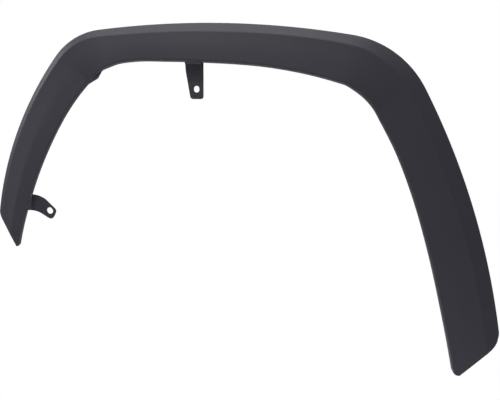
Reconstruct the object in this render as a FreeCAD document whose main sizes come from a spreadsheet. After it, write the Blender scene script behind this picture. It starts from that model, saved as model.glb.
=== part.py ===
import FreeCAD, Part
import os
import Sketcher
from math import atan2, cos, hypot, pi, radians, sin
from FreeCAD import Vector

# A wheel-arch trim: one moulded strip that frames the wheel opening of a car's front wing.
# +X runs along the car from the front leg to the rear leg, +Y points inboard and +Z up.
# The origin is the centre of the top tab's slot, on the face that seats against the body.

# Driving sizes in millimetres and degrees.
SIZES = {
    # Outer edge: arcs to both sides of the crown's highest point, the apex.
    "apex_along": 14.4,
    "apex_height": 112.4,
    "crown_radius": 1584.0,
    "crown_rear_turn": 9.15,
    "rear_shoulder_radius": 171.0,
    "rear_shoulder_turn": 53.9,
    "rear_leg_radius": 1249.0,
    "rear_leg_turn": 25.0,
    "crown_front_turn": 6.6,
    "front_shoulder_radius": 107.0,
    "front_shoulder_turn": 48.5,
    "front_leg_radius": 555.0,
    "front_leg_turn": 36.5,
    # Width of the strip, square to its outer edge.
    "width_rear_foot": 91.0,
    "width_rear_leg": 95.0,
    "width_rear_knee": 95.2,
    "width_rear_shoulder": 94.6,
    "width_rear_brow": 86.4,
    "width_rear_crown": 73.2,
    "width_apex": 67.6,
    "width_front_crown": 60.8,
    "width_front_brow": 69.0,
    "width_front_shoulder": 73.6,
    "width_front_knee": 71.0,
    "width_front_leg": 58.8,
    "width_front_foot": 37.0,
    # Bevel along the outer edge: how wide it is and how far it drops.
    "bevel_rear_foot": 25.0,
    "bevel_rear_shoulder": 23.5,
    "bevel_rear_brow": 18.5,
    "bevel_apex": 15.0,
    "bevel_front_brow": 12.0,
    "bevel_front_shoulder": 9.0,
    "bevel_front_knee": 5.5,
    "bevel_front_foot": 5.0,
    "drop_rear_foot": 12.0,
    "drop_apex": 11.0,
    "drop_front_foot": 5.0,
    # Fold along the middle of the face: how far it stands out from the face's two edges.
    "fold_rear_foot": 1.2,
    "fold_apex": 0.8,
    "fold_front_knee": 1.2,
    "fold_front_leg": 3.0,
    "fold_front_foot": 6.0,
    # How much further out the inner edge stands than the crease of the bevel.
    "lean_rear_foot": 9.0,
    "lean_rear_brow": 5.0,
    "lean_apex": 3.0,
    "lean_front_brow": 4.0,
    "lean_front_knee": 10.0,
    "lean_front_foot": 12.0,
    # How far the strip curves inboard of its apex, round the car's plan shape.
    "setback_rear_foot": 24.0,
    "setback_rear_knee": 9.5,
    "setback_rear_brow": 1.5,
    "setback_rear_crown": -2.0,
    "setback_apex": 0.0,
    "setback_front_brow": 20.5,
    "setback_front_knee": 35.0,
    "setback_front_foot": 59.0,
    # Moulded section.
    "wall": 2.5,
    "flange_depth": 30.0,
    "lip_depth": 6.0,
    "inner_edge_radius": 4.0,
    "outer_edge_radius": 2.5,
    "crease_blend": 3.0,
    "fold_blend": 8.0,
    # Cut ends: the slope of the cut to the outer edge, its length to the tip and its roundings.
    "rear_cut_slope": 60.1,
    "rear_cut_length": 90.0,
    "rear_tip_slope": 156.0,
    "rear_corner_radius": 35.0,
    "front_cut_slope": 33.3,
    "front_cut_length": 64.5,
    "front_tip_slope": 141.0,
    "front_corner_radius": 40.0,
    "tip_radius": 1.2,
    "end_lead_slope": 6.0,
    "end_wall_back": 4.25,
    # Screw tabs and the slots in them.
    "tab_thickness": 3.0,
    "tab_root": 5.0,
    "slot_length": 11.5,
    "slot_width": 9.0,
    "top_tab_front": 19.5,
    "top_tab_rear": 12.2,
    "top_tab_foot_front": 9.0,
    "top_tab_reach": 17.7,
    "top_tab_bend": 14.0,
    "top_tab_set": 9.0,
    "top_tab_radius": 5.0,
    "top_slot_lean": 4.0,
    "front_tab_length": 37.0,
    "front_tab_above": 22.5,
    "front_tab_below": 7.2,
    "front_tab_set": 2.0,
    "front_tab_taper": 1.5,
    "front_tab_bend": 22.0,
    "front_tab_tip_above": 1.0,
    "front_tab_tip_end": 13.5,
    "front_tab_tip_below": 17.0,
    "front_tab_tip_side": 6.5,
    "front_tab_tip_radius": 8.0,
    "front_tab_bend_radius": 40.0,
    "front_slot_along": 2.6,
    "front_slot_turn": 39.8,
    # Locating nib on the flange at the front shoulder.
    "nib_ramp": 33.5,
    "nib_ramp_dip": 10.0,
    "nib_waist": 8.0,
    "nib_waist_dip": 0.5,
    "nib_height": 5.8,
    "nib_end": 12.2,
    "nib_end_root": 1.5,
    "nib_thickness": 2.0,
    "nib_depth": 18.0,
    "nib_set": 7.0,
    # Clip seats on the back of the face.
    "seat_width": 22.0,
    "seat_length": 18.0,
    "seat_height": 14.0,
    "seat_wall": 2.0,
    "seat_slot": 8.0,
}

# Places along the outer edge, counted in arcs from the rear foot to the front foot.
ARCS = ["rear_leg", "rear_shoulder", "crown_rear", "crown_front", "front_shoulder", "front_leg"]
PLACES = {
    "rear_foot": 0.0,
    "rear_leg": 0.5,
    "rear_knee": 1.0,
    "rear_shoulder": 1.5,
    "rear_brow": 2.0,
    "rear_crown": 2.5,
    "apex": 3.0,
    "front_crown": 3.7,
    "front_brow": 4.0,
    "front_shoulder": 4.5,
    "front_knee": 5.0,
    "front_leg": 5.5,
    "front_foot": 6.0,
}
SECTION_STEPS = 36
REAR_CUT_PLACE = 0.155
FRONT_CUT_PLACE = 5.821
FRONT_TAB_PLACE = 5.771
NIB_PLACE = 4.5
SEAT_PLACES = [0.3, 0.55, 0.85, 1.5, 2.4, 3.35, 5.2, 5.6]

# Room by which cutting shapes reach past what they cut.
PAST = 12.0
FAR = 150.0
ASIDE = 50.0

doc = FreeCAD.newDocument("wheel_arch_trim")
sheet = doc.addObject("Spreadsheet::Sheet", "Sizes")
for row, (alias, number) in enumerate(SIZES.items(), start=1):
    sheet.set(f"A{row}", alias)
    sheet.set(f"B{row}", str(number))
    sheet.setAlias(f"B{row}", alias)
doc.recompute()


class Size:
    """A number, with the sheet expression that gives it."""

    def __init__(self, value, text=None):
        self.value = float(value)
        self.text = text or repr(float(value))

    def joined(self, sign, other, value):
        return Size(value, f"({self.text} {sign} {as_size(other).text})")

    def __add__(self, other):
        return self.joined("+", other, self.value + as_size(other).value)

    def __sub__(self, other):
        return self.joined("-", other, self.value - as_size(other).value)

    def __mul__(self, other):
        return self.joined("*", other, self.value * as_size(other).value)

    def __truediv__(self, other):
        return self.joined("/", other, self.value / as_size(other).value)

    def __neg__(self):
        return self * -1


def as_size(number):
    return number if isinstance(number, Size) else Size(number)


def size(alias):
    """A driving size, read from the sheet."""
    return Size(sheet.get(alias), f"Sizes.{alias}")


def long_side(across, down):
    return Size(hypot(across.value, down.value), f"sqrt({across.text} ^ 2 + {down.text} ^ 2)")


def sloped(length, slope):
    """The two parts of a length that slopes by an angle in degrees."""
    angle = radians(slope.value)
    along = Size(length.value * cos(angle), f"({length.text} * cos({slope.text} * 1 deg))")
    across = Size(length.value * sin(angle), f"({length.text} * sin({slope.text} * 1 deg))")
    return along, across


def smooth_weights(knots, place):
    """Weights of the knots' values in a smooth curve through them, at one place."""
    last = len(knots) - 1
    left = max(i for i in range(last) if knots[i] <= place or i == 0)
    span = knots[left + 1] - knots[left]
    share = (place - knots[left]) / span
    weights = [0.0] * len(knots)
    weights[left] += 2 * share**3 - 3 * share**2 + 1
    weights[left + 1] += 3 * share**2 - 2 * share**3
    slopes = [(left, share**3 - 2 * share**2 + share), (left + 1, share**3 - share**2)]
    for knot, weight in slopes:
        before, after = max(knot - 1, 0), min(knot + 1, last)
        reach = weight * span / (knots[after] - knots[before])
        weights[after] += reach
        weights[before] -= reach
    return weights


def along(kind, place):
    """A size that changes smoothly along the strip, such as its width."""
    names = [name for name in PLACES if f"{kind}_{name}" in SIZES]
    weights = smooth_weights([PLACES[name] for name in names], place)
    total = Size(0)
    for name, weight in zip(names, weights):
        if abs(weight) > 1e-9:
            total = total + size(f"{kind}_{name}") * round(weight, 6)
    return total


def bind(item, name, amount):
    """Give a property its size and tie it to the sheet."""
    item.setExpression(name, amount.text)


def origin_plane(body, role):
    return next(plane for plane in body.Origin.OriginFeatures if plane.Role == role)


def sketch_on_plane(body, name, role, offset=None):
    """A sketch on one of the body's own planes, moved along its normal."""
    sketch = body.newObject("Sketcher::SketchObject", name)
    sketch.AttachmentSupport = [(origin_plane(body, role), "")]
    sketch.MapMode = "FlatFace"
    if offset is not None:
        bind(sketch, "AttachmentOffset.Base.z", offset)
    return sketch


def sketch_on_path(body, name, path, place, mode):
    """A sketch at a place on the outer edge: square to it, or flat in its plane."""
    arc = min(int(place), len(ARCS) - 1)
    sketch = body.newObject("Sketcher::SketchObject", name)
    sketch.AttachmentSupport = [(path, f"Edge{arc + 1}")]
    sketch.MapMode = mode
    sketch.MapPathParameter = place - arc
    return sketch


def tie(sketch, constraint, amount):
    """Add a dimension and tie it to the sheet."""
    index = sketch.addConstraint(constraint)
    sketch.setExpression(f"Constraints[{index}]", amount.text)


def place_corner(sketch, item, point, across, up):
    tie(sketch, Sketcher.Constraint("DistanceX", -1, 1, item, point, across.value), across)
    tie(sketch, Sketcher.Constraint("DistanceY", -1, 1, item, point, up.value), up)


def rounding(corner, before, after, amount, kind):
    """Ends, centre and radius of the arc that rounds a corner by a radius or by a length."""
    back = (before - corner).normalize()
    on = (after - corner).normalize()
    half = back.getAngle(on) / 2
    slope = sin(half) / cos(half)
    reach = amount / slope if kind == "radius" else amount
    radius = reach * slope
    centre = corner + (back + on).normalize() * (radius / sin(half))
    return corner + back * reach, corner + on * reach, centre, radius


def arc_between(centre, radius, start, end):
    circle = Part.Circle(centre, Vector(0, 0, 1), radius)
    first = atan2(start.y - centre.y, start.x - centre.x)
    last = atan2(end.y - centre.y, end.x - centre.x)
    return Part.ArcOfCircle(circle, first, last if last > first else last + 2 * pi)


def outline(sketch, corners):
    """Draw a closed outline; each corner is (across, up) or (across, up, rounding, its kind)."""
    points = [Vector(corner[0].value, corner[1].value, 0) for corner in corners]
    count = len(corners)
    starts, ends, arcs = list(points), list(points), {}
    for i, corner in enumerate(corners):
        if len(corner) == 2:
            continue
        before, after = points[i - 1], points[(i + 1) % count]
        arrive, leave, centre, radius = rounding(points[i], before, after, corner[2].value, corner[3])
        left_turn = (points[i] - before).cross(after - points[i]).z > 0
        ends[i], starts[i] = arrive, leave
        arcs[i] = (centre, radius, left_turn)
    lines = [sketch.addGeometry(Part.LineSegment(starts[i], ends[(i + 1) % count])) for i in range(count)]
    for i, corner in enumerate(corners):
        before, after = lines[i - 1], lines[i]
        if i not in arcs:
            sketch.addConstraint(Sketcher.Constraint("Coincident", before, 2, after, 1))
            place_corner(sketch, after, 1, corner[0], corner[1])
            continue
        centre, radius, left_turn = arcs[i]
        first, last = (ends[i], starts[i]) if left_turn else (starts[i], ends[i])
        arc = sketch.addGeometry(arc_between(centre, radius, first, last))
        point = sketch.addGeometry(Part.Point(points[i]), True)
        arrive, leave = (1, 2) if left_turn else (2, 1)
        sketch.addConstraint([
            Sketcher.Constraint("Tangent", before, 2, arc, arrive),
            Sketcher.Constraint("Tangent", arc, leave, after, 1),
            Sketcher.Constraint("PointOnObject", point, 1, before),
            Sketcher.Constraint("PointOnObject", point, 1, after),
        ])
        place_corner(sketch, point, 1, corner[0], corner[1])
        if corner[3] == "radius":
            tie(sketch, Sketcher.Constraint("Radius", arc, radius), corner[2])
        else:
            tie(sketch, Sketcher.Constraint("Distance", point, 1, after, 1, corner[2].value), corner[2])
    return sketch


def slot_outline(sketch, across, up, turn):
    """A round-ended slot, turned by an angle from the sketch's first axis."""
    half_length = (size("slot_length") - size("slot_width")) / 2
    radius = size("slot_width") / 2
    step_across, step_up = sloped(half_length, turn)
    middle = Vector(across.value, up.value, 0)
    step = Vector(step_across.value, step_up.value, 0)
    side = Vector(-step.y, step.x, 0).normalize() * radius.value
    near, far = middle - step, middle + step
    far_arc = sketch.addGeometry(arc_between(far, radius.value, far - side, far + side))
    line_back = sketch.addGeometry(Part.LineSegment(far + side, near + side))
    near_arc = sketch.addGeometry(arc_between(near, radius.value, near + side, near - side))
    line_on = sketch.addGeometry(Part.LineSegment(near - side, far - side))
    sketch.addConstraint([
        Sketcher.Constraint("Tangent", far_arc, 2, line_back, 1),
        Sketcher.Constraint("Tangent", line_back, 2, near_arc, 1),
        Sketcher.Constraint("Tangent", near_arc, 2, line_on, 1),
        Sketcher.Constraint("Tangent", line_on, 2, far_arc, 1),
    ])
    tie(sketch, Sketcher.Constraint("Radius", far_arc, radius.value), radius)
    place_corner(sketch, far_arc, 3, across + step_across, up + step_up)
    place_corner(sketch, near_arc, 3, across - step_across, up - step_up)
    return sketch


def extrude(body, kind, name, sketch, length, both_ways=False, turned=False):
    """A pad or a pocket of a sketch."""
    feature = body.newObject(f"PartDesign::{kind}", name)
    feature.Profile = sketch
    feature.SideType = "Symmetric" if both_ways else "One side"
    feature.Reversed = turned
    bind(feature, "Length", length)
    feature.Refine = False
    return feature


def face_offset():
    """How far the face stands outboard of the top tab's seat."""
    return size("flange_depth") + size("tab_thickness")


def edge_path(body):
    """The outer edge as six tangent arcs, drawn from the rear foot to the front foot."""
    sketch = sketch_on_plane(body, f"{body.Name}_edge", "XZ_Plane", face_offset())
    radii = [size("crown_radius" if "crown" in arc else f"{arc}_radius") for arc in ARCS]
    turns = [size(f"{arc}_turn") for arc in ARCS]
    apex_arc = ARCS.index("crown_front")
    apex = Vector(size("apex_along").value, size("apex_height").value, 0)
    angles = [pi / 2 - sum(radians(turn.value) for turn in turns[i:apex_arc]) for i in range(apex_arc + 1)]
    for turn in turns[apex_arc:]:
        angles.append(angles[-1] + radians(turn.value))
    centres = {apex_arc: apex - Vector(0, radii[apex_arc].value, 0)}
    for i in list(range(apex_arc - 1, -1, -1)) + list(range(apex_arc + 1, len(ARCS))):
        known, joint = (i + 1, angles[i + 1]) if i < apex_arc else (i - 1, angles[i])
        outward = Vector(cos(joint), sin(joint), 0)
        centres[i] = centres[known] + outward * (radii[known].value - radii[i].value)
    for i, radius in enumerate(radii):
        circle = Part.Circle(centres[i], Vector(0, 0, 1), radius.value)
        sketch.addGeometry(Part.ArcOfCircle(circle, angles[i], angles[i + 1]))
    for i in range(len(ARCS) - 1):
        sketch.addConstraint(Sketcher.Constraint("Tangent", i, 2, i + 1, 1))
    place_corner(sketch, apex_arc, 1, size("apex_along"), size("apex_height"))
    along_centre = Sketcher.Constraint("DistanceX", -1, 1, apex_arc, 3, apex.x)
    tie(sketch, along_centre, size("apex_along"))
    for i, turn in enumerate(turns):
        tie(sketch, Sketcher.Constraint("Radius", i, radii[i].value), radii[i])
        tie(sketch, Sketcher.Constraint("Angle", i, radians(turn.value)), turn)
    return sketch


def fold_point(place):
    """The fold's place across the strip and its height over the face's outer crease."""
    across = (along("bevel", place) + along("width", place)) * -0.5
    return across, along("lean", place) * 0.5 + along("fold", place)


def section(body, path, name, place, hollow):
    """The strip's closed section, or that of the room behind its wall."""
    sketch = sketch_on_path(body, name, path, place, "FrenetNB")
    bind(sketch, "AttachmentOffset.Base.y", -along("setback", place))
    width, bevel, drop = along("width", place), along("bevel", place), along("drop", place)
    lean = along("lean", place)
    fold_across, fold_up = fold_point(place)
    wall = size("wall") if hollow else Size(0)
    past = Size(PAST if hollow else 0)
    slope_length = long_side(bevel, drop)
    crease_shift = wall * (slope_length - bevel) / drop
    edge_shift = wall * (slope_length - drop) / bevel
    corners = [
        (-wall, -(drop + size("lip_depth") + past)),
        (-wall, -(drop + edge_shift), size("outer_edge_radius"), "radius"),
        (-(bevel + crease_shift), -wall, size("crease_blend"), "length"),
        (fold_across, fold_up - wall, size("fold_blend"), "length"),
        (wall - width, lean - wall, size("inner_edge_radius"), "radius"),
        (wall - width, lean - size("flange_depth") - past),
    ]
    return outline(sketch, [corner[:2] for corner in corners] if hollow else corners)


def cut_end(body, path, end, place, back):
    """Cut an end of the strip to its slanted outline, rounded at the outer corner and the tip."""
    on = Size(1 if end == "front" else -1)
    slope, length = size(f"{end}_cut_slope"), size(f"{end}_cut_length")
    tip_along, tip_across = sloped(length, slope)
    chamfer_along, chamfer_across = sloped(Size(2 * PAST), size(f"{end}_tip_slope"))
    lead_along, lead_across = sloped(Size(FAR / 2), size("end_lead_slope"))
    corners = [
        (-(lead_along + back), -lead_across),
        (-back, Size(0), size(f"{end}_corner_radius"), "radius"),
        (tip_along - back, tip_across, size("tip_radius"), "radius"),
        (tip_along + chamfer_along - back, tip_across + chamfer_across),
        (tip_along + chamfer_along - back, Size(FAR)),
        (Size(FAR), Size(FAR)),
        (Size(FAR), Size(-ASIDE)),
        (-(lead_along + back), Size(-ASIDE)),
    ]
    sketch = sketch_on_path(body, f"{body.Name}_{end}_outline", path, place, "FrenetTN")
    outline(sketch, [(corner[0] * on,) + corner[1:] for corner in corners])
    return extrude(body, "Pocket", f"{body.Name}_{end}_cut", sketch, Size(2 * FAR), both_ways=True)


def even_places(path):
    """Places at even steps along the whole outer edge, which keep the loft smooth."""
    lengths = [arc.Length for arc in path.Shape.Edges]
    places = []
    for step in range(SECTION_STEPS + 1):
        left = sum(lengths) * step / SECTION_STEPS
        arc = 0
        while left > lengths[arc] and arc < len(lengths) - 1:
            left -= lengths[arc]
            arc += 1
        places.append(arc + min(left / lengths[arc], 1.0))
    return places


def lofted_strip(body, hollow):
    """The strip's outer form, or the room behind its wall, with both ends cut."""
    path = edge_path(body)
    doc.recompute()
    sections = []
    for number, place in enumerate(even_places(path)):
        sections.append(section(body, path, f"{body.Name}_section_{number}", place, hollow))
    doc.recompute()
    loft = body.newObject("PartDesign::AdditiveLoft", f"{body.Name}_loft")
    loft.Profile = sections[0]
    loft.Sections = sections[1:]
    loft.Refine = False
    back = size("end_wall_back") if hollow else Size(0)
    cut_end(body, path, "rear", REAR_CUT_PLACE, back)
    cut_end(body, path, "front", FRONT_CUT_PLACE, back)
    doc.recompute()
    return path


def add_top_tab(body):
    """The top screw tab: a bent tongue under the crown, tapered on its front side."""
    thick, bend, setting = size("tab_thickness"), size("top_tab_bend"), size("top_tab_set")
    front, rear, reach = size("top_tab_front"), size("top_tab_rear"), size("top_tab_reach")
    edge = size("apex_height") - size("width_apex")
    root = edge + size("tab_root")
    side = sketch_on_plane(body, "top_tab_side", "YZ_Plane", -front)
    outline(side, [
        (Size(0), -reach),
        (Size(0), bend),
        (-setting, root),
        (-(setting + thick), root),
        (-thick, bend),
        (-thick, -reach),
    ])
    extrude(body, "Pad", "top_tab", side, front + rear)
    doc.recompute()
    trim = sketch_on_plane(body, "top_tab_outline", "XZ_Plane")
    below = -(reach + PAST)
    outline(trim, [
        (-front, edge),
        (-size("top_tab_foot_front"), -reach, size("top_tab_radius"), "radius"),
        (rear, -reach, size("top_tab_radius"), "radius"),
        (rear, bend),
        (rear + PAST, bend),
        (rear + PAST, below),
        (-(front + PAST), below),
        (-(front + PAST), edge),
    ])
    extrude(body, "Pocket", "top_tab_trim", trim, Size(FAR), both_ways=True)
    slot = sketch_on_plane(body, "top_slot_outline", "XZ_Plane")
    slot_outline(slot, Size(0), Size(0), size("top_slot_lean") + 90)
    extrude(body, "Pocket", "top_slot", slot, Size(FAR), both_ways=True)
    doc.recompute()


def add_front_tab(body, path):
    """The front screw tab: a thumb-shaped tongue from the flange of the front leg."""
    place = FRONT_TAB_PLACE
    width = along("width", place)
    back = along("setback", place) - along("lean", place) + size("flange_depth") - size("front_tab_set")
    root = width - size("tab_root")
    length = width + size("front_tab_length")
    tip, taper = size("front_tab_tip_radius"), size("front_tab_taper")
    bend = length - size("front_tab_bend")
    sketch = sketch_on_path(body, "front_tab_outline", path, place, "FrenetTN")
    bind(sketch, "AttachmentOffset.Base.z", -back)
    outline(sketch, [
        (-size("front_tab_above"), root),
        (taper - size("front_tab_above"), bend, size("front_tab_bend_radius"), "radius"),
        (-size("front_tab_tip_above"), length + size("front_tab_tip_end"), tip, "radius"),
        (size("front_tab_tip_below"), length + size("front_tab_tip_side"), tip, "radius"),
        (size("front_tab_below") - taper, bend, size("front_tab_bend_radius"), "radius"),
        (size("front_tab_below"), root),
    ])
    extrude(body, "Pad", "front_tab", sketch, size("tab_thickness"))
    slot = sketch_on_path(body, "front_slot_outline", path, place, "FrenetTN")
    bind(slot, "AttachmentOffset.Base.z", -back)
    slot_outline(slot, size("front_slot_along"), length, size("front_slot_turn"))
    extrude(body, "Pocket", "front_slot", slot, Size(FAR), both_ways=True)
    doc.recompute()


def add_nib(body, path):
    """The locating nib: a ramp along the flange at the front shoulder, with a steep end."""
    place = NIB_PLACE
    width = along("width", place)
    start = along("setback", place) - along("lean", place) + size("nib_set")
    sketch = sketch_on_path(body, "nib_outline", path, place, "FrenetTN")
    bind(sketch, "AttachmentOffset.Base.z", -start)
    outline(sketch, [
        (size("nib_ramp"), width + size("nib_ramp_dip")),
        (Size(0), width + size("nib_height")),
        (-size("nib_end"), width - size("nib_end_root")),
        (-size("nib_end"), width - size("nib_end_root") - size("nib_thickness")),
        (size("nib_waist"), width + size("nib_waist_dip")),
        (size("nib_ramp"), width + size("nib_ramp_dip") - size("nib_thickness")),
    ])
    extrude(body, "Pad", "nib", sketch, size("nib_depth"), turned=True)
    doc.recompute()


def add_clip_seat(body, path, number, place):
    """A clip seat: a bridge on the back of the face, with an open slot for a clip's neck."""
    middle, fold_up = fold_point(place)
    half_face = (along("width", place) - along("bevel", place)) * 0.5
    lean, wall, thick = along("lean", place), size("wall"), size("seat_wall")
    half = size("seat_width") / 2
    height = fold_up - size("seat_height")

    def root_up(side):
        """Half-way through the face's wall, at a distance outward from the fold."""
        far_up = Size(0) if side.value > 0 else lean
        share = side / half_face if side.value > 0 else -side / half_face
        return fold_up + (far_up - fold_up) * share - wall * 0.5

    bridge = sketch_on_path(body, f"seat_{number}_bridge", path, place, "FrenetNB")
    bind(bridge, "AttachmentOffset.Base.y", -along("setback", place))
    inside = half - thick
    outline(bridge, [
        (middle + half, root_up(half)),
        (middle + half, height),
        (middle - half, height),
        (middle - half, root_up(-half)),
        (middle - inside, root_up(-inside)),
        (middle - inside, height + thick),
        (middle + inside, height + thick),
        (middle + inside, root_up(inside)),
    ])
    extrude(body, "Pad", f"seat_{number}", bridge, size("seat_length"), both_ways=True)
    neck = sketch_on_path(body, f"seat_{number}_neck", path, place, "FrenetNB")
    bind(neck, "AttachmentOffset.Base.y", -along("setback", place))
    half_slot = size("seat_slot") / 2
    outline(neck, [
        (middle + half_slot, height - thick),
        (middle - half_slot, height - thick),
        (middle - half_slot, height + thick * 2),
        (middle + half_slot, height + thick * 2),
    ])
    extrude(body, "Pocket", f"seat_{number}_slot", neck, size("seat_length"))
    doc.recompute()


def build_trim():
    """The whole strip as one moulded piece."""
    room = doc.addObject("PartDesign::Body", "room_behind_wall")
    lofted_strip(room, hollow=True)
    trim = doc.addObject("PartDesign::Body", "wheel_arch_trim")
    trim.Label = "wheel_arch_trim"
    lofted_strip(trim, hollow=False)
    shell = trim.newObject("PartDesign::Boolean", "shell")
    shell.Type = "Cut"
    shell.setObjects([room])
    shell.Refine = False
    doc.recompute()
    fittings = doc.addObject("PartDesign::Body", "fittings")
    fittings.AllowCompound = True
    path = edge_path(fittings)
    doc.recompute()
    for number, place in enumerate(SEAT_PLACES, start=1):
        add_clip_seat(fittings, path, number, place)
    add_nib(fittings, path)
    add_top_tab(fittings)
    add_front_tab(fittings, path)
    whole = trim.newObject("PartDesign::Boolean", "whole")
    whole.Type = "Fuse"
    whole.setObjects([fittings])
    whole.Refine = False
    doc.recompute()
    return trim


trim = build_trim()
doc.recompute()
for item in doc.Objects:
    if "Invalid" in item.State or "Error" in item.State:
        raise RuntimeError(f"{item.Label} failed: {item.State}")
if trim.Shape.isNull() or not trim.Shape.isValid() or len(trim.Shape.Solids) != 1:
    raise RuntimeError("the strip isn't one valid solid")
os.makedirs("parts", exist_ok=True)
trim.Shape.exportStep(f"parts/{trim.Label}.step")
box = trim.Shape.BoundBox
print(f"{trim.Label}: {trim.Shape.Volume / 1000:.1f} cm3, {box}")
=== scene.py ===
import bmesh
import bpy
import numpy as np
from math import cos, pi, radians, sin, tan
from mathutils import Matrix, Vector


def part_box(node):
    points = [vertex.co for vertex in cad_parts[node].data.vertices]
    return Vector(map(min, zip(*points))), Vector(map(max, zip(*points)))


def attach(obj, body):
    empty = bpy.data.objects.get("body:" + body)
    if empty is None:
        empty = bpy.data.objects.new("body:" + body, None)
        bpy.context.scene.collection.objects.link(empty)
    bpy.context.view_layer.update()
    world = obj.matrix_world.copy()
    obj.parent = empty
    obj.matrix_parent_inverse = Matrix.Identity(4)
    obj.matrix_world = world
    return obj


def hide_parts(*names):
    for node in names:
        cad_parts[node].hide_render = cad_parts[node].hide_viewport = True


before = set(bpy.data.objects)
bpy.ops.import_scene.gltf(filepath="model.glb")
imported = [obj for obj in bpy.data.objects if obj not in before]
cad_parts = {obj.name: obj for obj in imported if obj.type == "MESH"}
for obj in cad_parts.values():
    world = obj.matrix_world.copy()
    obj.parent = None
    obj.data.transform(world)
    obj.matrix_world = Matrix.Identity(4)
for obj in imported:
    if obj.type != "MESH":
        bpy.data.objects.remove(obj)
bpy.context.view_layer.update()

NODE = "wheel_arch_trim"
BODY = "root"
MM = 0.001

# Sizes in millimetres and degrees, close to those of the part's source.
# Outer edge: tangent arcs from the rear foot to the front foot, through the crown's highest point.
APEX = Vector((14.4, 112.39))
APEX_ARC = 3
ARC_RADII = [1249.0, 171.0, 1584.0, 1584.0, 107.0, 555.0]
ARC_TURNS = [25.0, 53.9, 9.15, 6.6, 48.5, 36.5]
FACE_SET = 33.0

# Sizes that change along the strip. A place counts arcs from the rear foot.
WIDTH = {
    0.0: 83.0, 0.14: 89.4, 0.3: 94.2, 0.5: 95.2, 0.7: 93.4, 0.85: 92.6, 1.0: 95.0, 1.5: 94.2, 1.75: 91.6,
    2.0: 86.4, 2.2: 79.9, 2.5: 73.0, 3.0: 67.6, 3.35: 64.4,
    3.7: 60.6, 3.85: 61.8, 4.0: 68.4, 4.5: 74.5, 4.75: 75.5, 5.0: 74.0, 5.1: 70.4,
    5.5: 59.6, 5.771: 48.7, 5.93: 39.8, 6.0: 35.8,
}
BEVEL = {0.0: 25.0, 1.5: 23.5, 2.0: 18.5, 3.0: 15.0, 4.0: 12.0, 4.5: 10.0, 5.0: 8.5, 6.0: 5.0}
DROP = {0.0: 12.0, 3.0: 11.0, 6.0: 5.0}
FOLD_REACH = {0.0: 8.0, 5.0: 8.0, 5.5: 4.0, 6.0: 2.5}
FOLD = {0.0: 1.2, 3.0: 0.8, 5.0: 1.2, 5.5: 3.0, 6.0: 6.0}
LEAN = {0.0: 9.0, 2.0: 5.0, 3.0: 3.0, 4.0: 4.0, 5.0: 10.0, 6.0: 12.0}
SETBACK = {0.0: 24.0, 1.0: 9.5, 2.0: 1.5, 2.5: -2.0, 3.0: 0.0, 4.0: 20.5, 5.0: 35.0, 6.0: 58.6}

# Moulded section: its wall and depths, and how far each rounding reaches from its corner.
WALL = 2.5
FLANGE_DEPTH = 30.0
LIP_DEPTH = 6.0
LIP_REACH = 1.3
CREASE_REACH = 1.2
INNER_EDGE_REACH = 4.0
RUN_STEPS = [2, 6, 16, 20, 6]
ROUND_STEPS = 6
TABLE_STEPS = 700
STRIP_STEPS = 400
SHELL_SHARP = 32.0
MERGE_DISTANCE = 1e-7

# Cut ends: place of the outer corner, slope of the line that leads to it and its radius, slope and length
# of the cut, the blunt tip's end as steps inward and onward, and the slope of the side beyond it.
ENDS = {
    "rear": {
        "place": 0.1598, "lead": 0.2, "radius": 43.0,
        "slope": 58.65, "length": 90.2, "tip": (7.0, -2.3), "side": 158.7,
    },
    "front": {
        "place": 5.821, "lead": 6.0, "radius": 40.0,
        "slope": 33.3, "length": 64.5, "tip": (1.0, -0.6), "side": 141.0,
    },
}
LEAD_LENGTH = 75.0
SIDE_LENGTH = 70.0
TIP_REACH = 0.6
END_WALL = 4.25

# Screw tabs, their slots and ledges, and the locating nib.
TAB_THICKNESS = 3.0
TAB_ROOT = 5.0
TAB_EDGE = 0.5
TAB_EDGE_STEPS = 2
TAB_EDGE_FROM = 50.0
TAB_SHARP = 12.0
SLOT_LENGTH = 11.5
SLOT_WIDTH = 9.0
TOP_TAB_SIDES = (-19.4, 11.8)
TOP_TAB_SHOULDER = (-18.7, 30.0)
TOP_TAB_FOOT = -10.4
TOP_TAB_REACH = 17.0
TOP_TAB_BEND = 14.0
TOP_TAB_SET = 9.0
TOP_TAB_RADIUS = 5.0
TOP_TAB_FLARE = 2.0
LEDGE_SIDES = (-17.5, 8.5)
LEDGE_DROP = 2.8
LEDGE_FRONT = -33.0
LEDGE_RADIUS = 1.0
TOP_SLOT_TURN = 94.0
FRONT_TAB_PLACE = 5.771
FRONT_TAB_LENGTH = 37.0
FRONT_TAB_BENDS = (16.0, 22.0)
FRONT_TAB_SIDES = (-22.5, 6.6)
FRONT_TAB_TAPER = 1.5
FRONT_TAB_TIPS = ((0.5, 11.8), (19.2, 6.4))
FRONT_TAB_TIP_RADIUS = 8.0
FRONT_TAB_BEND_RADIUS = 40.0
FRONT_TAB_SET = 2.0
FRONT_LEDGE = [(-21.0, -3.0), (-20.6, 3.4), (5.0, 6.4), (6.0, -3.0)]
FRONT_LEDGE_SET = 1.5
FRONT_SLOT_ALONG = 2.6
FRONT_SLOT_TURN = 39.8
NIB_PLACE = 4.5
NIB_OUTLINE = [(20, 5.4), (0, 5), (-12.2, -2.4), (-12.2, -4.4), (0, -2), (7, -0.5), (14, 1), (20, 3.2)]
NIB_SET = 4.5
NIB_DEPTH = 20.5

# Clip seats on the back of the face.
SEAT_PLACES = [0.3, 0.55, 0.85, 1.5, 2.4, 3.35, 5.2, 5.6]
SEAT_WIDTH = 22.0
SEAT_LENGTH = 18.0
SEAT_HEIGHT = 14.0
SEAT_WALL = 2.0
SEAT_SLOT = 8.0
SEAT_SHARP = 30.0

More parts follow.
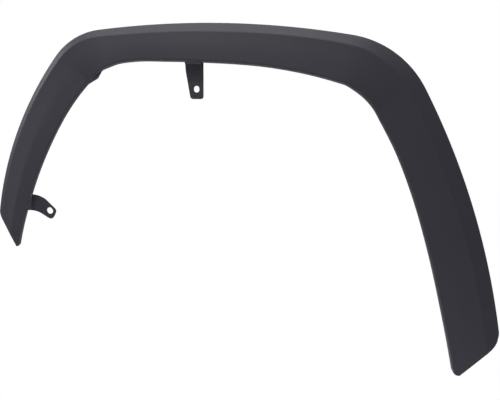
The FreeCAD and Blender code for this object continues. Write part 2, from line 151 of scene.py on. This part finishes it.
# Camera in metres: square to the face, 4 m in front of it, at the height of the strip's middle.
FACE_PLANE = -FACE_SET * MM
CAMERA_DISTANCE = 4.0
CAMERA_ALONG = 0.0913
CAMERA_HEIGHT = -0.1899
PICTURE_WIDTH = 0.85
SENSOR_WIDTH = 36.0

# The floor is a disc small enough to stay out of the picture, a little below the part.
FLOOR_GAP = 0.13
FLOOR_RADIUS = 0.88
FLOOR_SIDES = 96
FLOOR_TONE = (0.88, 0.88, 0.88, 1)
FLOOR_ROUGHNESS = 0.9

# Unpainted charcoal plastic: its tone, and the grain that is moulded into the visible face.
PLASTIC_TONE = (0.0225, 0.0229, 0.0325)
PLASTIC_ROUGHNESS = 0.5
ROUGHNESS_SPREAD = 0.05
PLASTIC_SPECULAR = 0.42
GRAIN_SIZE = 0.0011
GRAIN_DETAIL = 3.0
GRAIN_DEPTH = 0.00025
GRAIN_ON_FACE = 0.6
GRAIN_ON_BACK = 0.08
FACING_OUTBOARD = -0.4
CLOUD_SIZE = 0.07
CLOUD_DETAIL = 2.0
TONE_SPREAD = 0.06

# Light: the dome's strength above and below and the heights between which it changes, then the soft boxes
# in metres and watts, each with its place, target, width, depth and power.
DOME_ABOVE = 0.55
DOME_BELOW = 0.12
DOME_HEIGHTS = (-0.3, 0.7)
SOFT_BOXES = {
    "key_light": ((-0.3, -1.8, 1.3), (0.0, FACE_PLANE, 0.1), 1.0, 1.0, 22),
    "top_light": ((0.0, -0.24, 1.6), (0.0, FACE_PLANE, 0.0), 2.2, 0.7, 18),
    "side_light": ((-1.5, -0.16, 0.6), (-0.25, FACE_PLANE, 0.0), 0.7, 0.5, 13),
    "back_light": ((0.5, 2.0, 0.9), (CAMERA_ALONG, FACE_PLANE, CAMERA_HEIGHT), 1.2, 1.2, 34),
}


def arc_starts():
    """Angles at the arcs' ends and the centres of the arcs of the outer edge."""
    before = [-sum(ARC_TURNS[arc:APEX_ARC]) for arc in range(APEX_ARC)]
    after = [sum(ARC_TURNS[APEX_ARC:arc]) for arc in range(APEX_ARC, len(ARC_TURNS) + 1)]
    angles = [pi / 2 + radians(turn) for turn in before + after]
    centres = {APEX_ARC: APEX - Vector((0, ARC_RADII[APEX_ARC]))}
    for arc in [*range(APEX_ARC - 1, -1, -1), *range(APEX_ARC + 1, len(ARC_RADII))]:
        known, joint = (arc + 1, angles[arc + 1]) if arc < APEX_ARC else (arc - 1, angles[arc])
        outward = Vector((cos(joint), sin(joint)))
        centres[arc] = centres[known] + outward * (ARC_RADII[known] - ARC_RADII[arc])
    return angles, centres


ARC_ANGLES, ARC_CENTRES = arc_starts()
ARC_LENGTHS = [radius * radians(turn) for radius, turn in zip(ARC_RADII, ARC_TURNS)]


def length_at(place):
    """Length along the outer edge, from the rear foot to a place."""
    arc = min(int(place), len(ARC_LENGTHS) - 1)
    return sum(ARC_LENGTHS[:arc]) + (place - arc) * ARC_LENGTHS[arc]


def edge_at(length):
    """The outer edge's point (along, height) and its outward direction, at a length."""
    arc = 0
    while length > ARC_LENGTHS[arc] and arc < len(ARC_LENGTHS) - 1:
        length -= ARC_LENGTHS[arc]
        arc += 1
    angle = ARC_ANGLES[arc] + length / ARC_RADII[arc]
    outward = Vector((cos(angle), sin(angle)))
    return ARC_CENTRES[arc] + outward * ARC_RADII[arc], outward


def along(values, length):
    """A size that changes smoothly with the length along the strip."""
    knots = [length_at(place) for place in values]
    sizes = list(values.values())
    rises = [(sizes[i + 1] - sizes[i]) / (knots[i + 1] - knots[i]) for i in range(len(knots) - 1)]
    slopes = [rises[0]]
    for i in range(1, len(rises)):
        before, after = knots[i] - knots[i - 1], knots[i + 1] - knots[i]
        slopes.append((after * rises[i - 1] + before * rises[i]) / (before + after))
    slopes.append(rises[-1])
    i = max(knot for knot in range(len(rises)) if knots[knot] <= length or knot == 0)
    span = knots[i + 1] - knots[i]
    share = (length - knots[i]) / span
    left = sizes[i] * (2 * share**3 - 3 * share**2 + 1)
    left += slopes[i] * span * (share**3 - 2 * share**2 + share)
    right = sizes[i + 1] * (3 * share**2 - 2 * share**3)
    right += slopes[i + 1] * span * (share**3 - share**2)
    return left + right


def in_frame(length, inward, up):
    """A section's point in the frame, in millimetres: along, inboard, height."""
    point, outward = edge_at(length)
    flat = point - outward * inward
    return (flat.x, along(SETBACK, length) - FACE_SET - up, flat.y)


def heading(angle):
    """A step of one (inward, onward), turned inward by an angle."""
    return Vector((sin(radians(angle)), cos(radians(angle))))


def steps_between(start, end, count):
    """Even steps from a point to another, without the first."""
    return [start.lerp(end, (step + 1) / count) for step in range(count)]


def rounded(corners, reaches, runs, closed=False):
    """A line through corners, each but the ends rounded over a reach to both sides."""
    points = [] if closed else [corners[0]]
    count = len(corners)
    inner = range(count) if closed else range(1, count - 1)
    for number, i in enumerate(inner):
        corner, before, after = corners[i], corners[i - 1], corners[(i + 1) % count]
        arrive = corner + (before - corner).normalized() * reaches[number]
        leave = corner + (after - corner).normalized() * reaches[number]
        points += [arrive] if closed else steps_between(points[-1], arrive, runs[number])
        if reaches[number] > 0:
            for step in range(1, ROUND_STEPS + 1):
                share = step / ROUND_STEPS
                points.append(arrive.lerp(corner, share).lerp(corner.lerp(leave, share), share))
    if not closed:
        points += steps_between(points[-1], corners[-1], runs[-1])
    return points


def fold_point(length):
    """The fold's distance inward from the outer edge and its height over the bevel's crease."""
    inward = (along(BEVEL, length) + along(WIDTH, length)) / 2
    return inward, along(LEAN, length) / 2 + along(FOLD, length)


def section(length, wall):
    """The strip's section as (inward, up) points, from the lip over the face to the flange."""
    width, bevel, drop = along(WIDTH, length), along(BEVEL, length), along(DROP, length)
    lean = along(LEAN, length)
    fold_in, fold_up = fold_point(length)
    slope = Vector((bevel, drop)).length
    corners = [
        Vector((wall, -(drop + LIP_DEPTH))),
        Vector((wall, -(drop + wall * (slope - drop) / bevel))),
        Vector((bevel + wall * (slope - bevel) / drop, -wall)),
        Vector((fold_in, fold_up - wall)),
        Vector((width - wall, lean - wall)),
        Vector((width - wall, lean - FLANGE_DEPTH)),
    ]
    reaches = [LIP_REACH, CREASE_REACH, along(FOLD_REACH, length), INNER_EDGE_REACH - wall]
    return rounded(corners, reaches, RUN_STEPS)


def cut_outline(end, back):
    """A cut end's outline as (inward, along) points, in the frame of its outer corner."""
    lead = heading(end["lead"]) * -LEAD_LENGTH
    tip = heading(end["slope"]) * end["length"]
    blunt = tip + Vector(end["tip"])
    side = blunt + heading(end["side"]) * SIDE_LENGTH
    corner_reach = end["radius"] * tan(radians(end["slope"] - end["lead"]) / 2)
    corners = [lead, Vector((0, 0)), tip, blunt, side]
    line = rounded(corners, [corner_reach, TIP_REACH, TIP_REACH], [1, 1, 1, 1])
    return np.array([(point.x, point.y - back) for point in line])


def cut_length(line, lengths, name, back):
    """The length at which a line along the strip meets a cut end."""
    end = ENDS[name]
    corner, outward = edge_at(length_at(end["place"]))
    onward = Vector((-outward.y, outward.x)) * (1 if name == "front" else -1)
    from_corner = line[:, [0, 2]] - np.array(corner)
    inward = from_corner @ -np.array(outward)
    outline = cut_outline(end, back)
    past = from_corner @ np.array(onward) - np.interp(inward, outline[:, 0], outline[:, 1])
    near = abs(lengths - length_at(end["place"])) < 2 * LEAD_LENGTH
    order = np.argsort(past[near])
    return float(np.interp(0.0, past[near][order], lengths[near][order]))


def strip_surface(wall, back):
    """Rows of points along the strip's outer or inner surface, and their ends on the open back."""
    lengths = np.linspace(0.0, sum(ARC_LENGTHS), TABLE_STEPS)
    table = np.array([[in_frame(length, *point) for point in section(length, wall)] for length in lengths])
    rows, backs = [], []

    def point_at(length, line):
        return [np.interp(length, lengths, line[:, axis]) for axis in range(3)]

    for k in range(table.shape[1]):
        line = table[:, k]
        first, last = (cut_length(line, lengths, end, back) for end in ("rear", "front"))
        spread = np.linspace(first, last, STRIP_STEPS)
        rows.append([point_at(at, line) for at in spread])
        ends = []
        for at, point in ((first, rows[-1][0]), (last, rows[-1][-1])):
            lip, flange = (point_at(at, table[:, edge]) for edge in (0, -1))
            across = np.array([flange[0] - lip[0], flange[2] - lip[2]])
            share = np.array([point[0] - lip[0], point[2] - lip[2]]) @ across / (across @ across)
            ends.append([point[0], lip[1] + (flange[1] - lip[1]) * share, point[2]])
        backs.append(ends)
    return np.array(rows), np.array(backs)


def finished(name, mesh, material, sharp):
    """Link a mesh as a piece that stands for the CAD node."""
    piece = bpy.data.objects.new(name, mesh)
    bpy.context.scene.collection.objects.link(piece)
    mesh.polygons.foreach_set("use_smooth", [True] * len(mesh.polygons))
    mesh.set_sharp_from_angle(angle=radians(sharp))
    mesh.materials.clear()
    mesh.materials.append(material)
    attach(piece, BODY)
    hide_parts(NODE)
    return piece


def closed_mesh(name, bm):
    """A mesh with its doubles merged and its faces turned outwards."""
    bmesh.ops.remove_doubles(bm, verts=bm.verts, dist=MERGE_DISTANCE)
    bmesh.ops.dissolve_degenerate(bm, edges=bm.edges, dist=MERGE_DISTANCE)
    bmesh.ops.recalc_face_normals(bm, faces=bm.faces)
    mesh = bpy.data.meshes.new(name)
    bm.to_mesh(mesh)
    bm.free()
    return mesh


def strip_shell(material):
    """The channel: outer and inner surface, closed along the open back and round both ends."""
    bm = bmesh.new()

    def sheet(points):
        """Quads over a grid of points."""
        grid = [[bm.verts.new(Vector(point) * MM) for point in row] for row in points]
        for row, other in zip(grid, grid[1:]):
            for i in range(len(row) - 1):
                bm.faces.new((row[i], row[i + 1], other[i + 1], other[i]))

    outer, outer_backs = strip_surface(0.0, 0.0)
    inner, inner_backs = strip_surface(WALL, END_WALL)
    sheet(outer)
    sheet(inner)
    for edge in (0, -1):
        sheet([outer[edge], inner[edge]])
        sheet([outer[:, edge], outer_backs[:, edge]])
        sheet([inner[:, edge], inner_backs[:, edge]])
        sheet([outer_backs[:, edge], inner_backs[:, edge]])
    return finished("strip_shell", closed_mesh("strip_shell", bm), material, SHELL_SHARP)


def slot_line(centre, turn):
    """The outline of a round-ended slot."""
    half, radius = (SLOT_LENGTH - SLOT_WIDTH) / 2, SLOT_WIDTH / 2
    points = []
    for end, start in ((1, -90), (-1, 90)):
        for step in range(2 * ROUND_STEPS + 1):
            angle = radians(turn + start + 180 * step / (2 * ROUND_STEPS))
            middle = Vector((cos(radians(turn)), sin(radians(turn)))) * half * end
            points.append(centre + middle + Vector((cos(angle), sin(angle))) * radius)
    return points


def plate(name, material, loops, depth, to_frame, folds=()):
    """A moulded plate from its outline and holes, carried into the frame, with eased edges."""
    bm = bmesh.new()
    edges = []
    for loop in loops:
        corners = [bm.verts.new((point.x, point.y, 0)) for point in loop]
        edges += [bm.edges.new((corners[i - 1], corners[i])) for i in range(len(corners))]
    bmesh.ops.triangle_fill(bm, use_beauty=True, edges=edges)
    for height in folds:
        everything = [*bm.verts, *bm.edges, *bm.faces]
        bmesh.ops.bisect_plane(bm, geom=everything, plane_co=(0, height, 0), plane_no=(0, 1, 0))
    grown = bmesh.ops.extrude_face_region(bm, geom=bm.faces[:])
    for item in grown["geom"]:
        if isinstance(item, bmesh.types.BMVert):
            item.co.z = depth
    for vert in bm.verts:
        vert.co = Vector(to_frame(*vert.co)) * MM
    piece = finished(name, closed_mesh(name, bm), material, TAB_SHARP)
    easing = piece.modifiers.new("eased_edges", "BEVEL")
    easing.width = TAB_EDGE * MM
    easing.segments = TAB_EDGE_STEPS
    easing.limit_method = "ANGLE"
    easing.angle_limit = radians(TAB_EDGE_FROM)
    easing.harden_normals = True
    return piece


def top_tab(material):
    """The top screw tab: a tongue under the crown, bent inboard, tapered on its front side."""
    front, rear = TOP_TAB_SIDES
    edge = APEX.y - along(WIDTH, length_at(APEX_ARC))
    root = edge + TAB_ROOT
    corners = [(front - TOP_TAB_FLARE, root), (front, edge - 2 * TOP_TAB_FLARE), TOP_TAB_SHOULDER]
    corners += [(TOP_TAB_FOOT, -TOP_TAB_REACH), (rear, -TOP_TAB_REACH), (rear, root)]
    reaches = [0, TOP_TAB_FLARE, TOP_TAB_RADIUS, TOP_TAB_RADIUS, TOP_TAB_RADIUS, 0]
    outline = rounded([Vector(corner) for corner in corners], reaches, [], closed=True)

    def bent(along_car, height, depth):
        lean = max(height - TOP_TAB_BEND, 0.0) / (root - TOP_TAB_BEND) * TOP_TAB_SET
        return (along_car, -lean - depth, height)

    slot = slot_line(Vector((0, 0)), TOP_SLOT_TURN)
    return plate("top_tab", material, [outline, slot], TAB_THICKNESS, bent, [TOP_TAB_BEND])


def tab_ledge(material):
    """The ledge under the crown that the top tab hangs from."""
    edge = APEX.y - along(WIDTH, length_at(APEX_ARC))
    front, rear = LEDGE_SIDES
    top, bottom = edge + LEDGE_DROP, edge - LEDGE_DROP
    corners = [Vector(corner) for corner in ((front, top), (front, bottom), (rear, bottom), (rear, top))]
    outline = rounded(corners, [0, LEDGE_RADIUS, LEDGE_RADIUS, 0], [], closed=True)
    back = -TOP_TAB_SET - TAB_THICKNESS / 2

    def carry(along_car, height, depth):
        return (along_car, back - depth, height)

    return plate("tab_ledge", material, [outline], back - LEDGE_FRONT, carry)


def local_frame(place, plane):
    """A function that carries (onward, inward, outboard) at a place on the edge into the frame."""
    point, outward = edge_at(length_at(place))
    onward = Vector((-outward.y, outward.x))

    def carry(on, inward, outboard):
        flat = point + onward * on - outward * inward
        return (flat.x, plane - outboard, flat.y)

    return carry


def front_tab(material):
    """The front screw tab: a thumb-shaped tongue from the flange of the front leg."""
    length = length_at(FRONT_TAB_PLACE)
    width = along(WIDTH, length)
    plane = along(SETBACK, length) - along(LEAN, length) + FLANGE_DEPTH - FRONT_TAB_SET - FACE_SET
    tip = width + FRONT_TAB_LENGTH
    upper_bend, lower_bend = (tip - bend for bend in FRONT_TAB_BENDS)
    above, below = FRONT_TAB_SIDES
    corners = [(above, width - TAB_ROOT), (above + FRONT_TAB_TAPER, upper_bend)]
    corners += [(on, tip + reach) for on, reach in FRONT_TAB_TIPS]
    corners += [(below - FRONT_TAB_TAPER, lower_bend), (below, width - TAB_ROOT)]
    corners = [Vector(corner) for corner in corners]
    radii = [0, FRONT_TAB_BEND_RADIUS, FRONT_TAB_TIP_RADIUS, FRONT_TAB_TIP_RADIUS, FRONT_TAB_BEND_RADIUS, 0]
    reaches = []
    for i, radius in enumerate(radii):
        turn = (corners[i] - corners[i - 1]).angle(corners[(i + 1) % len(corners)] - corners[i])
        reaches.append(radius * tan(turn / 2))
    outline = rounded(corners, reaches, [], closed=True)
    slot = slot_line(Vector((FRONT_SLOT_ALONG, tip)), FRONT_SLOT_TURN)
    return plate("front_tab", material, [outline, slot], TAB_THICKNESS, local_frame(FRONT_TAB_PLACE, plane))


def front_ledge(material):
    """The gusset that carries the face out over the front tab's root."""
    length = length_at(FRONT_TAB_PLACE)
    width = along(WIDTH, length)
    face = along(SETBACK, length) - along(LEAN, length) - FACE_SET
    corners = [Vector((on, width + inward)) for on, inward in FRONT_LEDGE]
    outline = rounded(corners, [0, LEDGE_RADIUS, LEDGE_RADIUS, 0], [], closed=True)
    depth = FLANGE_DEPTH - FRONT_TAB_SET - TAB_THICKNESS / 2 - FRONT_LEDGE_SET
    carry = local_frame(FRONT_TAB_PLACE, face + FRONT_LEDGE_SET)
    return plate("front_ledge", material, [outline], -depth, carry)


def nib(material):
    """The locating nib: a ramp along the flange at the front shoulder, with a steep end."""
    length = length_at(NIB_PLACE)
    width = along(WIDTH, length)
    plane = along(SETBACK, length) - along(LEAN, length) + NIB_SET - FACE_SET
    outline = [Vector((on, width + inward)) for on, inward in NIB_OUTLINE]
    return plate("nib", material, [outline], -NIB_DEPTH, local_frame(NIB_PLACE, plane))


class Tree:
    """A Geometry Nodes tree with named inputs."""

    def __init__(self, name, inputs):
        self.tree = bpy.data.node_groups.new(name, "GeometryNodeTree")
        face = self.tree.interface
        face.new_socket("Geometry", in_out="OUTPUT", socket_type="NodeSocketGeometry")
        face.new_socket("Geometry", in_out="INPUT", socket_type="NodeSocketGeometry")
        for label, kind in inputs.items():
            face.new_socket(label, in_out="INPUT", socket_type=kind)
        self.given = self.tree.nodes.new("NodeGroupInput").outputs
        self.result = self.tree.nodes.new("NodeGroupOutput").inputs["Geometry"]

    def node(self, kind, **sockets):
        """Add a node; each named socket is linked to an output or set to a value."""
        node = self.tree.nodes.new(kind)
        for name, value in sockets.items():
            self.join(node.inputs[name.replace("_", " ")], value)
        return node

    def join(self, socket, value):
        if isinstance(value, bpy.types.NodeSocket):
            self.tree.links.new(value, socket)
        else:
            socket.default_value = value

    def math(self, operation, first, second):
        node = self.tree.nodes.new("ShaderNodeMath")
        node.operation = operation
        self.join(node.inputs[0], first)
        self.join(node.inputs[1], second)
        return node.outputs[0]

    def vector(self, x, y, z):
        return self.node("ShaderNodeCombineXYZ", X=x, Y=y, Z=z).outputs[0]

    def attribute(self, name):
        return self.node("GeometryNodeInputNamedAttribute", Name=name).outputs["Attribute"]

    def block(self, low, high):
        """A block between two corners."""
        spans = [self.math("SUBTRACT", b, a) for a, b in zip(low, high)]
        middles = [self.math("MULTIPLY", self.math("ADD", a, b), 0.5) for a, b in zip(low, high)]
        cube = self.node("GeometryNodeMeshCube", Size=self.vector(*spans)).outputs["Mesh"]
        moved = self.node("GeometryNodeTransform", Geometry=cube, Translation=self.vector(*middles))
        return moved.outputs["Geometry"]

    def joined(self, parts):
        node = self.tree.nodes.new("GeometryNodeJoinGeometry")
        for part in parts:
            self.tree.links.new(part, node.inputs["Geometry"])
        return node.outputs["Geometry"]


def seat_tree():
    """A seat at each point: two legs down to the face, and a bridge with an open slot for a clip's neck."""
    kinds = {label: "NodeSocketFloat" for label in ("Width", "Length", "Wall", "Slot")}
    tree = Tree("clip_seats", {**kinds, "Material": "NodeSocketMaterial"})
    wall = tree.given["Wall"]
    half = tree.math("MULTIPLY", tree.given["Width"], 0.5)
    inside = tree.math("SUBTRACT", half, wall)
    end = tree.math("MULTIPLY", tree.given["Length"], 0.5)
    neck = tree.math("MULTIPLY", tree.given["Slot"], 0.5)
    over = tree.math("MULTIPLY", wall, -1.0)

    def minus(value):
        return tree.math("MULTIPLY", value, -1.0)

    outer_leg = tree.block((inside, -1.0, minus(end)), (half, 0.0, end))
    inner_leg = tree.block((minus(half), -1.0, minus(end)), (minus(inside), 0.0, end))
    bridge = tree.joined([
        tree.block((minus(inside), over, minus(end)), (inside, 0.0, 0.0)),
        tree.block((neck, over, 0.0), (inside, 0.0, end)),
        tree.block((minus(inside), over, 0.0), (minus(neck), 0.0, end)),
    ])
    turn = tree.vector(0.0, tree.attribute("turn"), 0.0)
    placed = []
    for shape, length in ((outer_leg, "outer_leg"), (inner_leg, "inner_leg"), (bridge, None)):
        scale = tree.vector(1.0, tree.attribute(length) if length else 1.0, 1.0)
        sockets = {"Points": tree.given["Geometry"], "Instance": shape, "Rotation": turn, "Scale": scale}
        placed.append(tree.node("GeometryNodeInstanceOnPoints", **sockets).outputs["Instances"])
    whole = tree.node("GeometryNodeRealizeInstances", Geometry=tree.joined(placed)).outputs["Geometry"]
    dressed = tree.node("GeometryNodeSetMaterial", Geometry=whole, Material=tree.given["Material"])
    tree.tree.links.new(dressed.outputs["Geometry"], tree.result)
    return tree.tree


def clip_seats(material):
    """The seats behind the face, one at each place along the strip."""
    points, turns, legs = [], [], {"outer_leg": [], "inner_leg": []}
    for place in SEAT_PLACES:
        length = length_at(place)
        middle, fold_up = fold_point(length)
        half_face = (along(WIDTH, length) - along(BEVEL, length)) / 2
        reach = SEAT_WIDTH / 2 / half_face
        outward = edge_at(length)[1]
        points.append([part * MM for part in in_frame(length, middle, fold_up - SEAT_HEIGHT)])
        turns.append(-np.arctan2(outward.y, outward.x))
        for leg, far_up in (("outer_leg", 0.0), ("inner_leg", along(LEAN, length))):
            legs[leg].append(((far_up - fold_up) * reach - WALL / 2 + SEAT_HEIGHT) * MM)
    mesh = bpy.data.meshes.new("seat_points")
    mesh.from_pydata(points, [], [])
    for name, values in {"turn": turns, **legs}.items():
        mesh.attributes.new(name, "FLOAT", "POINT").data.foreach_set("value", values)
    holder = bpy.data.objects.new("seat_points", mesh)
    bpy.context.scene.collection.objects.link(holder)
    modifier = holder.modifiers.new("seats", "NODES")
    modifier.node_group = seat_tree()
    settings = {
        "Width": SEAT_WIDTH * MM,
        "Length": SEAT_LENGTH * MM,
        "Wall": SEAT_WALL * MM,
        "Slot": SEAT_SLOT * MM,
        "Material": material,
    }
    for item in modifier.node_group.interface.items_tree:
        if item.name in settings:
            modifier[item.identifier] = settings[item.name]
    bpy.context.view_layer.update()
    made = bpy.data.meshes.new_from_object(holder.evaluated_get(bpy.context.evaluated_depsgraph_get()))
    made.name = "clip_seats"
    bpy.data.objects.remove(holder)
    return finished("clip_seats", made, material, SEAT_SHARP)


def node_after(tree, kind, **links_in):
    """Add a shader node and connect the given outputs to its inputs."""
    node = tree.nodes.new(kind)
    for name, output in links_in.items():
        tree.links.new(output, node.inputs[name])
    return node


def graded(tree, value, low, high, start=0.0, end=1.0):
    """A value carried over from one range to another."""
    ramp = node_after(tree, "ShaderNodeMapRange", Value=value)
    ramp.inputs["From Min"].default_value = start
    ramp.inputs["From Max"].default_value = end
    ramp.inputs["To Min"].default_value = low
    ramp.inputs["To Max"].default_value = high
    return ramp.outputs["Result"]


def noise(tree, place, size, detail):
    """Noise of a size in metres."""
    texture = node_after(tree, "ShaderNodeTexNoise", Vector=place)
    texture.inputs["Scale"].default_value = 1.0 / size
    texture.inputs["Detail"].default_value = detail
    return texture.outputs["Fac"]


def moulded_plastic(name):
    """Satin charcoal plastic with a fine grain on the side that faces outboard, and a smooth back."""
    material = bpy.data.materials.new(name)
    material.use_nodes = True
    tree = material.node_tree
    shader = tree.nodes["Principled BSDF"]
    shader.inputs["Specular IOR Level"].default_value = PLASTIC_SPECULAR
    place = tree.nodes.new("ShaderNodeTexCoord")
    grain = noise(tree, place.outputs["Object"], GRAIN_SIZE, GRAIN_DETAIL)
    cloud = noise(tree, place.outputs["Object"], CLOUD_SIZE, CLOUD_DETAIL)
    tones = node_after(tree, "ShaderNodeMix")
    tones.data_type = "RGBA"
    for socket, share in (("A", 1 - TONE_SPREAD), ("B", 1 + TONE_SPREAD)):
        tones.inputs[socket].default_value = [part * share for part in PLASTIC_TONE] + [1.0]
    tree.links.new(cloud, tones.inputs["Factor"])
    tree.links.new(tones.outputs["Result"], shader.inputs["Base Color"])
    facing = node_after(tree, "ShaderNodeSeparateXYZ", Vector=place.outputs["Normal"])
    outboard = graded(tree, facing.outputs["Y"], GRAIN_ON_FACE, GRAIN_ON_BACK, FACING_OUTBOARD, 0.0)
    satin = graded(tree, grain, PLASTIC_ROUGHNESS - ROUGHNESS_SPREAD, PLASTIC_ROUGHNESS + ROUGHNESS_SPREAD)
    tree.links.new(satin, shader.inputs["Roughness"])
    bump = node_after(tree, "ShaderNodeBump", Height=grain, Strength=outboard)
    bump.inputs["Distance"].default_value = GRAIN_DEPTH
    tree.links.new(bump.outputs["Normal"], shader.inputs["Normal"])
    return material


def pale_floor(lowest):
    """A pale round floor below the part."""
    mesh = bpy.data.meshes.new("floor")
    turns = [2 * pi * side / FLOOR_SIDES for side in range(FLOOR_SIDES)]
    height = lowest - FLOOR_GAP
    rim = [(CAMERA_ALONG + FLOOR_RADIUS * cos(turn), FLOOR_RADIUS * sin(turn), height) for turn in turns]
    mesh.from_pydata(rim, [], [list(range(FLOOR_SIDES))])
    floor = bpy.data.objects.new("floor", mesh)
    bpy.context.scene.collection.objects.link(floor)
    material = bpy.data.materials.new("floor_paper")
    material.use_nodes = True
    shader = material.node_tree.nodes["Principled BSDF"]
    shader.inputs["Base Color"].default_value = FLOOR_TONE
    shader.inputs["Roughness"].default_value = FLOOR_ROUGHNESS
    mesh.materials.append(material)


def white_world():
    """A white background for the camera, and a soft light for the rest that is stronger from above."""
    world = bpy.data.worlds.new("studio")
    bpy.context.scene.world = world
    world.use_nodes = True
    tree = world.node_tree
    background = tree.nodes["Background"]
    background.inputs["Color"].default_value = (1, 1, 1, 1)
    place = tree.nodes.new("ShaderNodeTexCoord")
    height = node_after(tree, "ShaderNodeSeparateXYZ", Vector=place.outputs["Generated"])
    dome = graded(tree, height.outputs["Z"], DOME_BELOW, DOME_ABOVE, *DOME_HEIGHTS)
    path = tree.nodes.new("ShaderNodeLightPath")
    strength = node_after(tree, "ShaderNodeMix", Factor=path.outputs["Is Camera Ray"], A=dome)
    strength.inputs["B"].default_value = 1.0
    tree.links.new(strength.outputs["Result"], background.inputs["Strength"])


def soft_light(name, place, target, width, depth, power):
    """A soft box that faces the part."""
    light = bpy.data.lights.new(name, "AREA")
    light.shape = "RECTANGLE"
    light.size = width
    light.size_y = depth
    light.energy = power
    lamp = bpy.data.objects.new(name, light)
    lamp.location = place
    lamp.rotation_euler = (Vector(target) - Vector(place)).to_track_quat("-Z", "Y").to_euler()
    bpy.context.scene.collection.objects.link(lamp)


def photo_camera():
    """The camera at the photograph's viewing angle."""
    camera = bpy.data.cameras.new("camera")
    camera.sensor_width = SENSOR_WIDTH
    camera.lens = SENSOR_WIDTH * CAMERA_DISTANCE / PICTURE_WIDTH
    holder = bpy.data.objects.new("camera", camera)
    holder.location = (CAMERA_ALONG, FACE_PLANE - CAMERA_DISTANCE, CAMERA_HEIGHT)
    holder.rotation_euler = (pi / 2, 0, 0)
    bpy.context.scene.collection.objects.link(holder)
    bpy.context.scene.camera = holder


bpy.context.scene.view_settings.view_transform = "Standard"
photo_camera()
plastic = moulded_plastic("charcoal_plastic")
strip_shell(plastic)
top_tab(plastic)
tab_ledge(plastic)
front_tab(plastic)
front_ledge(plastic)
nib(plastic)
clip_seats(plastic)

white_world()
pale_floor(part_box(NODE)[0].z)
for name, settings in SOFT_BOXES.items():
    soft_light(name, *settings)
